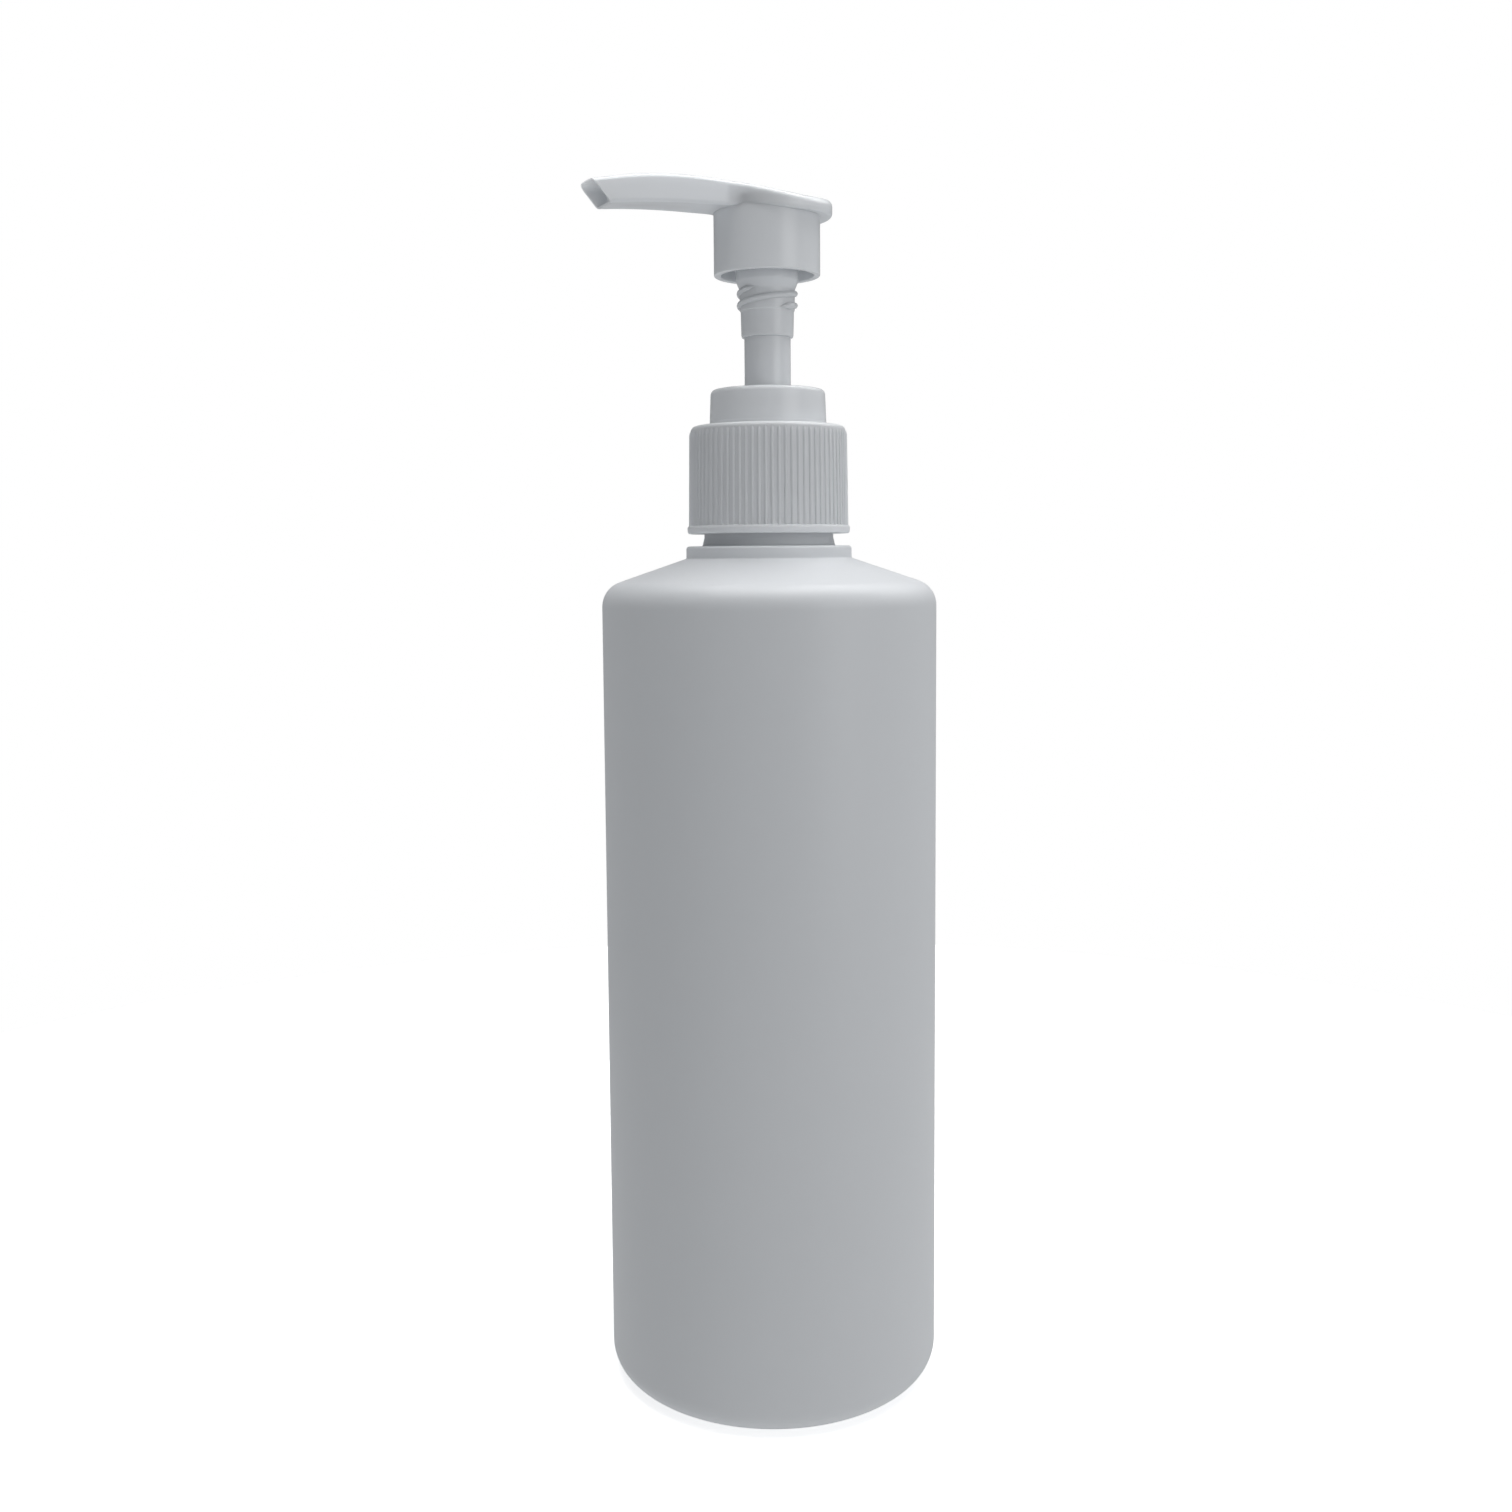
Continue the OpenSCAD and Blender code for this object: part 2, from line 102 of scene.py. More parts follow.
def mouldedTree():
    # moulded plastic: broad clouding of the colour, fine grain, and gloss that varies a little
    tree, given, out = newTree(
        "mouldedPlastic",
        "ShaderNodeTree",
        [
            ("Color", "NodeSocketColor", (0.8, 0.8, 0.8, 1)),
            ("Clouding", "NodeSocketFloat", 0.02),
            ("Cloud Scale", "NodeSocketFloat", 40),
            ("Roughness", "NodeSocketFloat", 0.4),
            ("Roughness Spread", "NodeSocketFloat", 0.06),
            ("Grain Scale", "NodeSocketFloat", 2500),
            ("Grain", "NodeSocketFloat", 0.5),
            ("Ripple Scale", "NodeSocketFloat", 120),
            ("Ripple", "NodeSocketFloat", 0.5),
        ],
        [("Color", "NodeSocketColor"), ("Roughness", "NodeSocketFloat"), ("Height", "NodeSocketFloat")],
    )
    place = addNode(tree, "ShaderNodeTexCoord").outputs["Object"]
    clouds = addNode(tree, "ShaderNodeTexNoise", {"Vector": place, "Scale": given["Cloud Scale"], "Detail": 3.0})
    grain = addNode(tree, "ShaderNodeTexNoise", {"Vector": place, "Scale": given["Grain Scale"], "Detail": 2.0})
    ripple = addNode(tree, "ShaderNodeTexNoise", {"Vector": place, "Scale": given["Ripple Scale"], "Detail": 1.0})
    lift = calc(tree, "SUBTRACT", clouds.outputs["Fac"], 0.5)
    shade = calc(tree, "MULTIPLY_ADD", lift, given["Clouding"], 1.0)
    tint = addNode(tree, "ShaderNodeVectorMath", {0: given["Color"], "Scale": shade}, operation="SCALE")
    tree.links.new(tint.outputs[0], out["Color"])
    gloss = calc(tree, "MULTIPLY_ADD", lift, given["Roughness Spread"], given["Roughness"])
    tree.links.new(gloss, out["Roughness"])
    fine = calc(tree, "MULTIPLY", grain.outputs["Fac"], given["Grain"])
    relief = calc(tree, "MULTIPLY_ADD", ripple.outputs["Fac"], given["Ripple"], fine)
    tree.links.new(relief, out["Height"])
    return tree


def steelTree():
    # drawn or polished steel: fine lines round the part's axis and a mottled gloss
    tree, given, out = newTree(
        "drawnSteel",
        "ShaderNodeTree",
        [
            ("Color", "NodeSocketColor", (0.6, 0.6, 0.62, 1)),
            ("Roughness", "NodeSocketFloat", 0.25),
            ("Line Scale", "NodeSocketFloat", 900),
            ("Lines", "NodeSocketFloat", 0.1),
        ],
        [("Color", "NodeSocketColor"), ("Roughness", "NodeSocketFloat"), ("Height", "NodeSocketFloat")],
    )
    place = addNode(tree, "ShaderNodeTexCoord").outputs["Object"]
    squash = addNode(tree, "ShaderNodeMapping", {"Vector": place, "Scale": (0.15, 0.15, 1)})
    lines = addNode(
        tree, "ShaderNodeTexNoise", {"Vector": squash.outputs[0], "Scale": given["Line Scale"], "Detail": 4.0}
    )
    centred = calc(tree, "SUBTRACT", lines.outputs["Fac"], 0.5)
    shade = calc(tree, "MULTIPLY_ADD", centred, given["Lines"], 1.0)
    tint = addNode(tree, "ShaderNodeVectorMath", {0: given["Color"], "Scale": shade}, operation="SCALE")
    tree.links.new(tint.outputs[0], out["Color"])
    gloss = calc(tree, "MULTIPLY_ADD", centred, given["Lines"], given["Roughness"])
    tree.links.new(gloss, out["Roughness"])
    tree.links.new(lines.outputs["Fac"], out["Height"])
    return tree


moulded = mouldedTree()
drawn = steelTree()

# what a finish doesn't state: the depth of its relief in mm, and a plastic that glows through a little
usual = {"depth": 0.1, "metal": 0.0, "glowThrough": 0.3}
glowDepth = 3
finishes = {
    "bottleSatin": {
        "group": moulded,
        "values": {
            "Color": (0.755, 0.775, 0.80, 1), "Clouding": 0.03, "Cloud Scale": 30, "Roughness": 0.42,
            "Roughness Spread": 0.08, "Grain Scale": 1800, "Grain": 0.7, "Ripple Scale": 70, "Ripple": 0.6,
        },
        "bump": 0.03, "ior": 1.50,
    },
    "closureSatin": {
        "group": moulded,
        "values": {
            "Color": (0.85, 0.87, 0.895, 1), "Clouding": 0.03, "Cloud Scale": 90, "Roughness": 0.36,
            "Roughness Spread": 0.08, "Grain Scale": 3200, "Grain": 0.5, "Ripple Scale": 260, "Ripple": 0.3,
        },
        "bump": 0.03, "ior": 1.49,
    },
    "pumpGloss": {
        "group": moulded,
        "values": {
            "Color": (0.81, 0.83, 0.855, 1), "Clouding": 0.03, "Cloud Scale": 110, "Roughness": 0.24,
            "Roughness Spread": 0.06, "Grain Scale": 4200, "Grain": 0.25, "Ripple Scale": 220, "Ripple": 0.5,
        },
        "bump": 0.02, "ior": 1.49,
    },
    "naturalPlastic": {
        "group": moulded,
        "values": {
            "Color": (0.84, 0.86, 0.84, 1), "Clouding": 0.06, "Cloud Scale": 160, "Roughness": 0.34,
            "Roughness Spread": 0.08, "Grain Scale": 3600, "Grain": 0.3, "Ripple Scale": 240, "Ripple": 0.6,
        },
        "bump": 0.03, "ior": 1.49,
    },
    "sealPlastic": {
        "group": moulded,
        "values": {
            "Color": (0.88, 0.88, 0.86, 1), "Clouding": 0.04, "Cloud Scale": 200, "Roughness": 0.3,
            "Roughness Spread": 0.06, "Grain Scale": 5200, "Grain": 0.3, "Ripple Scale": 420, "Ripple": 0.4,
        },
        "bump": 0.02, "ior": 1.51,
    },
    "sealFoam": {
        "group": moulded,
        "values": {
            "Color": (0.84, 0.85, 0.85, 1), "Clouding": 0.10, "Cloud Scale": 700, "Roughness": 0.75,
            "Roughness Spread": 0.10, "Grain Scale": 5200, "Grain": 1.0, "Ripple Scale": 1600, "Ripple": 1.0,
        },
        "bump": 0.35, "depth": 0.15, "ior": 1.45,
    },
    "springWire": {
        "group": drawn,
        "values": {"Color": (0.62, 0.62, 0.64, 1), "Roughness": 0.28, "Line Scale": 2600, "Lines": 0.16},
        "bump": 0.05, "depth": 0.05, "metal": 1.0, "glowThrough": 0.0, "ior": 1.5,
    },
    "polishedBall": {
        "group": drawn,
        "values": {"Color": (0.75, 0.75, 0.77, 1), "Roughness": 0.08, "Line Scale": 5200, "Lines": 0.04},
        "bump": 0.01, "depth": 0.05, "metal": 1.0, "glowThrough": 0.0, "ior": 1.5,
    },
}


def makeFinish(name):
    # the group draws colour, gloss and relief; what is the same all over stays on the shader
    finish = {**usual, **finishes[name]}
    material = bpy.data.materials.new(name)
    material.use_nodes = True
    tree = material.node_tree
    shader = tree.nodes["Principled BSDF"]
    look = addNode(tree, "ShaderNodeGroup", node_tree=finish["group"])
    for key, value in finish["values"].items():
        look.inputs[key].default_value = value
    bump = addNode(
        tree,
        "ShaderNodeBump",
        {"Height": look.outputs["Height"], "Strength": finish["bump"], "Distance": finish["depth"] * mm},
    )
    tree.links.new(look.outputs["Color"], shader.inputs["Base Color"])
    tree.links.new(look.outputs["Roughness"], shader.inputs["Roughness"])
    tree.links.new(bump.outputs[0], shader.inputs["Normal"])
    shader.inputs["Metallic"].default_value = finish["metal"]
    shader.inputs["IOR"].default_value = finish["ior"]
    shader.inputs["Subsurface Weight"].default_value = finish["glowThrough"]
    shader.inputs["Subsurface Radius"].default_value = (1, 1, 1)
    shader.inputs["Subsurface Scale"].default_value = glowDepth * mm
    return material


materials = {name: makeFinish(name) for name in finishes}
print("materials:", len(materials))


def roundedOutline(corners, turnPerStep=9.0):
    # corners are (radius, height, fillet); the fillets become arcs
    outline = []
    count = len(corners)
    for i, (x, z, fillet) in enumerate(corners):
        here = Vector((x, z))
        if fillet <= 0:
            outline.append((x, z))
            continue
        before = (Vector(corners[i - 1][:2]) - here).normalized()
        after = (Vector(corners[(i + 1) % count][:2]) - here).normalized()
        half = before.angle(after) / 2
        turn = math.pi - 2 * half
        centre = here + (before + after).normalized() * (fillet / math.sin(half))
        start = here + before * (fillet / math.tan(half)) - centre
        steps = max(2, math.ceil(math.degrees(turn) / turnPerStep))
        way = 1 if before.x * after.y - before.y * after.x < 0 else -1
        for k in range(steps + 1):
            a = way * turn * k / steps
            outline.append((
                centre.x + start.x * math.cos(a) - start.y * math.sin(a),
                centre.y + start.x * math.sin(a) + start.y * math.cos(a),
            ))
    return outline


def evenAngles(count):
    return [2 * math.pi * i / count for i in range(count)]


def latheMesh(name, outline, angles, swell=None):
    # turns a closed outline round Z; swell may add to the radius in places
    area = sum(a[0] * b[1] - b[0] * a[1] for a, b in zip(outline, outline[1:] + outline[:1]))
    if area < 0:
        outline = outline[::-1]
    shape = bmesh.new()
    rings = []
    for r, z in outline:
        if r < 1e-6:
            rings.append([shape.verts.new((0, 0, z * mm))] * len(angles))
            continue
        ring = []
        for a in angles:
            reach = r + (swell(r, z, a) if swell else 0)
            ring.append(shape.verts.new((reach * mm * math.cos(a), reach * mm * math.sin(a), z * mm)))
        rings.append(ring)
    for ring, above in zip(rings, rings[1:] + rings[:1]):
        for i in range(len(angles)):
            j = (i + 1) % len(angles)
            corners = list(dict.fromkeys([ring[i], ring[j], above[j], above[i]]))
            if len(corners) > 2:
                shape.faces.new(corners)
    mesh = bpy.data.meshes.new(name)
    shape.to_mesh(mesh)
    shape.free()
    return mesh


def growMesh(name, tree, values):
    # runs a geometry tree on an empty mesh and keeps the result as a plain mesh
    holder = bpy.data.objects.new(name, bpy.data.meshes.new(name + "Empty"))
    scene.collection.objects.link(holder)
    modifier = holder.modifiers.new(name, "NODES")
    modifier.node_group = tree
    for item in tree.interface.items_tree:
        if item.in_out == "INPUT" and item.name in values:
            modifier[item.identifier] = values[item.name]
    bpy.context.view_layer.update()
    evaluated = holder.evaluated_get(bpy.context.evaluated_depsgraph_get())
    mesh = bpy.data.meshes.new_from_object(evaluated)
    mesh.name = name
    bpy.data.objects.remove(holder)
    return mesh


def makePiece(name, meshes, material, sharpAngle=32.0):
    # joins meshes into one object, smooth but for its corners
    shape = bmesh.new()
    for mesh in meshes:
        shape.from_mesh(mesh)
    for face in shape.faces:
        face.smooth = True
        face.material_index = 0
    limit = math.radians(sharpAngle)
    for edge in shape.edges:
        edge.smooth = not (len(edge.link_faces) == 2 and edge.calc_face_angle(0) > limit)
    joined = bpy.data.meshes.new(name)
    shape.to_mesh(joined)
    shape.free()
    joined.materials.append(materials[material])
    piece = bpy.data.objects.new(name, joined)
    scene.collection.objects.link(piece)
    print(name, len(joined.polygons), "faces")
    return piece


def settle(piece, body, node):
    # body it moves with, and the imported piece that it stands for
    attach(piece, body)
    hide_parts(node)


def finishTree(tree, given, out, one, count, turn):
    # puts count copies of one shape round Z, starting at turn (radians)
    index = addNode(tree, "GeometryNodeInputIndex").outputs[0]
    share = calc(tree, "DIVIDE", index, count)
    angle = calc(tree, "MULTIPLY_ADD", share, 2 * math.pi, turn)
    euler = addNode(tree, "ShaderNodeCombineXYZ", {"Z": angle})
    spin = addNode(tree, "FunctionNodeEulerToRotation", {0: euler.outputs[0]})
    points = addNode(tree, "GeometryNodePoints", {"Count": count})
    copies = addNode(
        tree,
        "GeometryNodeInstanceOnPoints",
        {"Points": points.outputs[0], "Instance": one, "Rotation": spin.outputs[0]},
    )
    real = addNode(tree, "GeometryNodeRealizeInstances", {"Geometry": copies.outputs[0]})
    coloured = addNode(
        tree, "GeometryNodeSetMaterial", {"Geometry": real.outputs[0], "Material": given["Material"]}
    )
    tree.links.new(coloured.outputs[0], out["Geometry"])
    return tree


def ribTree():
    # upright half-round ribs round a drum, leaning in at the top to follow its rounded edge
    tree, given, out = newTree(
        "gripRibs",
        "GeometryNodeTree",
        [
            ("Count", "NodeSocketInt", 76),
            ("Foot", "NodeSocketFloat", 0.0),
            ("Top", "NodeSocketFloat", 0.02),
            ("Radius", "NodeSocketFloat", 0.015),
            ("Half Width", "NodeSocketFloat", 0.0004),
            ("Edge Radius", "NodeSocketFloat", 0.001),
            ("Draft", "NodeSocketFloat", 0.0),
            ("Material", "NodeSocketMaterial", None),
        ],
        [("Geometry", "NodeSocketGeometry")],
    )
    line = addNode(tree, "GeometryNodeCurvePrimitiveLine", {"End": (0, 0, 1)})
    path = addNode(tree, "GeometryNodeResampleCurve", {"Curve": line.outputs[0], "Count": 18})
    along = addNode(tree, "GeometryNodeSplineParameter").outputs["Factor"]
    left = calc(tree, "SUBTRACT", 1.0, along)
    eased = calc(tree, "SUBTRACT", 1.0, calc(tree, "MULTIPLY", left, left))    # crowds the points at the top
    height = calc(tree, "SUBTRACT", given["Top"], given["Foot"])
    z = calc(tree, "MULTIPLY_ADD", eased, height, given["Foot"])
    edge = given["Edge Radius"]
    bendFoot = calc(tree, "SUBTRACT", given["Top"], edge)
    past = calc(tree, "MAXIMUM", calc(tree, "SUBTRACT", z, bendFoot), 0.0)
    rest = calc(tree, "SUBTRACT", calc(tree, "MULTIPLY", edge, edge), calc(tree, "MULTIPLY", past, past))
    inward = calc(tree, "SUBTRACT", edge, calc(tree, "SQRT", calc(tree, "MAXIMUM", rest, 0.0)))
    drafted = calc(tree, "SUBTRACT", given["Radius"], calc(tree, "MULTIPLY", given["Draft"], eased))
    x = calc(tree, "SUBTRACT", drafted, inward)
    spot = addNode(tree, "ShaderNodeCombineXYZ", {"X": x, "Z": z})
    bent = addNode(tree, "GeometryNodeSetPosition", {"Geometry": path.outputs[0], "Position": spot.outputs[0]})
    profile = addNode(tree, "GeometryNodeCurvePrimitiveCircle", {"Resolution": 8, "Radius": given["Half Width"]})
    rib = addNode(
        tree,
        "GeometryNodeCurveToMesh",
        {"Curve": bent.outputs[0], "Profile Curve": profile.outputs[0], "Fill Caps": True},
    )
    return finishTree(tree, given, out, rib.outputs[0], given["Count"], 0.0)


def coilTree():
    # a helix with an oval section: threads fade out at both ends, and a spring has dead coils there
    tree, given, out = newTree(
        "coil",
        "GeometryNodeTree",
        [
            ("Turns", "NodeSocketFloat", 1.0),
            ("Lead", "NodeSocketFloat", 0.004),
            ("Radius", "NodeSocketFloat", 0.005),
            ("Half Depth", "NodeSocketFloat", 0.0005),
            ("Half Width", "NodeSocketFloat", 0.0005),
            ("Dead Coils", "NodeSocketFloat", 0.0),
            ("Fade", "NodeSocketFloat", 0.1),
            ("Start", "NodeSocketFloat", 0.0),
            ("Base", "NodeSocketFloat", 0.0),
            ("Starts", "NodeSocketInt", 1),
            ("Material", "NodeSocketMaterial", None),
        ],
        [("Geometry", "NodeSocketGeometry")],
    )
    turns = given["Turns"]
    rise = calc(tree, "MULTIPLY", turns, given["Lead"])
    spiral = addNode(
        tree,
        "GeometryNodeCurveSpiral",
        {
            "Resolution": 48, "Rotations": turns, "Start Radius": given["Radius"],
            "End Radius": given["Radius"], "Height": rise, "Reverse": True,    # right-handed
        },
    )
    along = addNode(tree, "GeometryNodeSplineParameter").outputs["Factor"]
    turned = calc(tree, "MULTIPLY", along, turns)
    live = calc(tree, "SUBTRACT", turns, calc(tree, "MULTIPLY", given["Dead Coils"], 2.0))
    share = calc(tree, "DIVIDE", calc(tree, "SUBTRACT", turned, given["Dead Coils"]), live)
    share = calc(tree, "MINIMUM", calc(tree, "MAXIMUM", share, 0.0), 1.0)
    here = addNode(tree, "GeometryNodeInputPosition").outputs[0]
    parts = addNode(tree, "ShaderNodeSeparateXYZ", {0: here}).outputs
    z = calc(tree, "MULTIPLY_ADD", share, rise, given["Base"])
    spot = addNode(tree, "ShaderNodeCombineXYZ", {"X": parts[0], "Y": parts[1], "Z": z})
    path = addNode(tree, "GeometryNodeSetPosition", {"Geometry": spiral.outputs[0], "Position": spot.outputs[0]})
    upright = addNode(tree, "GeometryNodeSetCurveNormal", {"Curve": path.outputs[0]}, mode="Z_UP")
    nearest = calc(tree, "MINIMUM", turned, calc(tree, "SUBTRACT", turns, turned))
    grown = calc(tree, "DIVIDE", nearest, calc(tree, "MAXIMUM", given["Fade"], 0.0001))
    grown = calc(tree, "MINIMUM", calc(tree, "MAXIMUM", grown, 0.05), 1.0)
    circle = addNode(tree, "GeometryNodeCurvePrimitiveCircle", {"Resolution": 12, "Radius": 1.0})
    oval = addNode(tree, "ShaderNodeCombineXYZ", {"X": given["Half Depth"], "Y": given["Half Width"], "Z": 1.0})
    profile = addNode(
        tree, "GeometryNodeTransform", {"Geometry": circle.outputs[0], "Scale": oval.outputs[0]}
    )
    ridge = addNode(
        tree,
        "GeometryNodeCurveToMesh",
        {"Curve": upright.outputs[0], "Profile Curve": profile.outputs[0], "Scale": grown, "Fill Caps": True},
    )
    return finishTree(tree, given, out, ridge.outputs[0], given["Starts"], given["Start"])


ribs = ribTree()
coil = coilTree()


def threadMesh(name, size, base, material, start=0.0):
    # size holds turns, lead, radius, halfDepth and halfWidth, and may hold starts, fade and dead coils
    return growMesh(name, coil, {
        "Turns": size["turns"], "Lead": size["lead"] * mm, "Radius": size["radius"] * mm,
        "Half Depth": size["halfDepth"] * mm, "Half Width": size["halfWidth"] * mm,
        "Dead Coils": size.get("dead", 0.0), "Fade": size.get("fade", 0.12), "Starts": size.get("starts", 1),
        "Start": math.radians(start), "Base": base * mm, "Material": materials[material],
    })


bottle = {
    "radius": 33.0, "wall": 1.1,
    "heel": 5.2, "ring": 23.5, "ringSlope": 4.0, "pushUp": 1.9,
    "shoulderTurn": 158.4, "shoulderSlope": 18.9, "shoulderRound": 5.1,
    "beadRadius": 16.3, "beadHeight": 2.4,
    "neckRadius": 12.7, "neckFoot": 13.1, "neckTaper": 1.6, "bore": 10.9,
    "thread": {"turns": 1.5, "lead": 4.233, "radius": 12.6, "halfDepth": 1.1, "halfWidth": 0.95},
    "threadBelowLip": 1.75,
    "sides": 180,
    # the parting line; no even step comes nearer to it than seamRoom, in radians
    "seamAngle": 152.0, "seamHeight": 0.045, "seamHalf": 0.25, "seamBodyTop": 150.0, "seamRoom": 0.012,
    "pinchLength": 30.0, "pinchWidth": 0.5, "pinchHeight": 0.5, "pinchRound": 0.12,
}


def bottleOutline():
    # up the outside from the pushed-up base to the lip, and down the inside
    b = bottle
    slope = math.tan(math.radians(b["shoulderSlope"]))
    beadFoot = b["shoulderTurn"] + (b["radius"] - b["beadRadius"]) * slope
    beadTop = beadFoot + b["beadHeight"]
    inner = b["radius"] - b["wall"]
    innerTurn = b["shoulderTurn"] - b["wall"] * 1.05
    boreFoot = innerTurn + (inner - b["bore"]) * slope
    corners = [
        (0, b["pushUp"], 0), (b["ring"] - b["ringSlope"], b["pushUp"], 3), (b["ring"], 0, 1.2),
        (b["radius"], 0, b["heel"]),
        (b["radius"], b["shoulderTurn"], b["shoulderRound"]),
        (b["beadRadius"] + 0.02, beadFoot, 0.35),
        (b["beadRadius"], beadTop, 0.6),
        (b["neckFoot"], beadTop, 0.35), (b["neckRadius"], beadTop + b["neckTaper"], 0.8),
        (b["neckRadius"], bottleTop, 0.45), (b["bore"], bottleTop, 0.3),
        (b["bore"], boreFoot, 1.5),
        (inner, innerTurn, b["shoulderRound"] - b["wall"]),
        (inner, b["wall"], b["heel"] - b["wall"]),
        (b["ring"], b["wall"], 1.2), (b["ring"] - b["ringSlope"], b["pushUp"] + b["wall"], 3),
        (0, b["pushUp"] + b["wall"], 0),
    ]
    return roundedOutline(corners, turnPerStep=6.0)


def seamSwell(r, z, angle):
    # the mould's parting line, up both sides of the outer wall only
    b = bottle
    insideNeck = r < b["bore"] + 1.5
    insideBody = r < b["radius"] - b["wall"] / 2 and z < b["seamBodyTop"]
    if insideNeck or insideBody or z > closureFoot:
        return 0
    off = math.remainder(angle - math.radians(b["seamAngle"]), math.pi) * r
    return b["seamHeight"] * max(0.0, 1 - abs(off) / b["seamHalf"])


def bottleAngles():
    # even steps, with a few extra ones across each parting line
    step = bottle["seamHalf"] / bottle["radius"]
    seam = math.radians(bottle["seamAngle"])
    extra = [seam + half + k * step for half in (0, math.pi) for k in (-1, -0.5, 0, 0.5, 1)]

    def isFree(angle):
        return all(abs(math.remainder(angle - other, 2 * math.pi)) > bottle["seamRoom"] for other in extra)

    kept = [angle for angle in evenAngles(bottle["sides"]) if isFree(angle)]
    return sorted(angle % (2 * math.pi) for angle in kept + extra)


def pinchMesh():
    # the raised line that the mould's pinch leaves across the hollow of the base
    b = bottle
    size = Vector((b["pinchLength"], b["pinchWidth"], b["pinchHeight"])) * mm
    turned = Matrix.Rotation(math.radians(b["seamAngle"]), 3, "Z")
    shape = bmesh.new()
    bmesh.ops.create_cube(shape, size=1)
    bmesh.ops.scale(shape, vec=size, verts=shape.verts)
    bmesh.ops.bevel(
        shape, geom=list(shape.edges), offset=b["pinchRound"] * mm, segments=3, profile=0.5, affect="EDGES"
    )
    bmesh.ops.rotate(shape, matrix=turned, verts=shape.verts)
    bmesh.ops.translate(shape, vec=(0, 0, b["pushUp"] * mm), verts=shape.verts)
    mesh = bpy.data.meshes.new("pinchLine")
    shape.to_mesh(mesh)
    shape.free()
    return mesh


threadTop = bottleTop - bottle["threadBelowLip"]
neckLead, neckTurns = bottle["thread"]["lead"], bottle["thread"]["turns"]
neckThread = threadMesh("neckThread", bottle["thread"], threadTop - neckLead * neckTurns, "bottleSatin")
bottleShell = latheMesh("bottleShell", bottleOutline(), bottleAngles(), seamSwell)
bottlePiece = makePiece("bottleBody", [bottleShell, neckThread, pinchMesh()], "bottleSatin")
settle(bottlePiece, "bottle", "bottle")


closure = {
    "valley": 15.2, "foot": 15.45, "beadRadius": 16.1, "beadHeight": 1.6,
    "edge": 1.0, "ribs": 76, "ribHalfWidth": 0.36, "ribSink": 0.07, "ribBelowTop": 0.7, "ribRound": 1.0,
    "bore": 14.0, "hole": 9.3, "deck": 1.95,
    "thread": {"turns": 1.6, "lead": 4.233, "radius": 14.1, "halfDepth": 1.05, "halfWidth": 0.7},
}


def closureOutline():
    c = closure
    beadTop = closureFoot + c["beadHeight"]
    ceiling = closureTop - c["deck"]
    return roundedOutline([
        (c["beadRadius"] - 0.15, closureFoot, 0.5), (c["beadRadius"], beadTop, 0.55),
        (c["foot"], beadTop, 0.12), (c["valley"], closureTop, c["edge"]),
        (c["hole"], closureTop, 0.25), (c["hole"], ceiling, 0.2),
        (c["bore"], ceiling, 0.5), (c["bore"], closureFoot, 0.3),
    ])


closureRibs = growMesh("closureRibs", ribs, {
    "Count": closure["ribs"],
    "Foot": (closureFoot + closure["beadHeight"] - 0.3) * mm,    # starts inside the bead
    "Top": (closureTop - closure["ribBelowTop"]) * mm,
    "Radius": (closure["foot"] - closure["ribSink"]) * mm,
    "Half Width": closure["ribHalfWidth"] * mm, "Edge Radius": closure["ribRound"] * mm,
    "Draft": (closure["foot"] - closure["valley"]) * mm, "Material": materials["closureSatin"],
})
# half a lead below the neck's thread, so the closure's ridge runs in its groove
closureThread = threadMesh(
    "closureThread", closure["thread"], threadTop - neckLead * (neckTurns + 0.5), "closureSatin"
)
closureShell = latheMesh("closureShell", closureOutline(), evenAngles(4 * closure["ribs"]))
closurePiece = makePiece("closureCap", [closureShell, closureRibs, closureThread], "closureSatin")
settle(closurePiece, "closure", "closure")


stroke = 14.6
skirtFoot = headFoot + 11.75

# the two-start thread that holds the pressed head down: at this height the head's ridge stands at this angle
lock = {"lead": 4.5, "height": skirtFoot - 5.6, "angle": 152.0}


def lockAngle(height):
    return lock["angle"] + (height - lock["height"]) / lock["lead"] * 360


collar = {
    "sides": 160, "foot": 11.45, "top": 11.2, "corner": 1.0, "seat": closureTop + 0.05, "deck": 1.8,
    "bore": 6.27, "guide": 4.68, "guideLength": 10.25, "tube": 8.6, "skirtInner": 10.1,
    "thread": {"turns": 1.15, "lead": lock["lead"], "radius": 6.37, "halfDepth": 0.7, "halfWidth": 0.42, "starts": 2},
    "threadBelowTop": 1.3,
}


def collarOutline():
    c = collar
    guideTop = collarFoot + c["guideLength"]
    ceiling = collarTop - c["deck"]
    return roundedOutline([
        (c["foot"] + 0.2, c["seat"], 0.1), (c["foot"], c["seat"] + 0.8, 0.6), (c["top"], collarTop, c["corner"]),
        (c["bore"] + 0.45, collarTop, 0.25), (c["bore"], collarTop - 0.45, 0.2),
        (c["bore"], guideTop, 0.2), (c["guide"], guideTop, 0.2), (c["guide"], collarFoot, 0.2),
        (c["tube"], collarFoot, 0.3), (c["tube"], ceiling, 0.3), (c["skirtInner"], ceiling, 0.3),
        (c["skirtInner"], c["seat"], 0.1),
    ])


# a quarter lead off the pressed head's thread, so each ridge runs between two of the other's
collarThreadFoot = collarTop - collar["threadBelowTop"] - lock["lead"] * collar["thread"]["turns"]
collarThread = threadMesh(
    "collarThread", collar["thread"], collarThreadFoot, "pumpGloss",
    start=lockAngle(collarThreadFoot + stroke - lock["lead"] / 4),
)
collarShell = latheMesh("collarShell", collarOutline(), evenAngles(collar["sides"]))
collarPiece = makePiece("lockCollar", [collarShell, collarThread], "pumpGloss")
settle(collarPiece, "pump", "lock_collar")


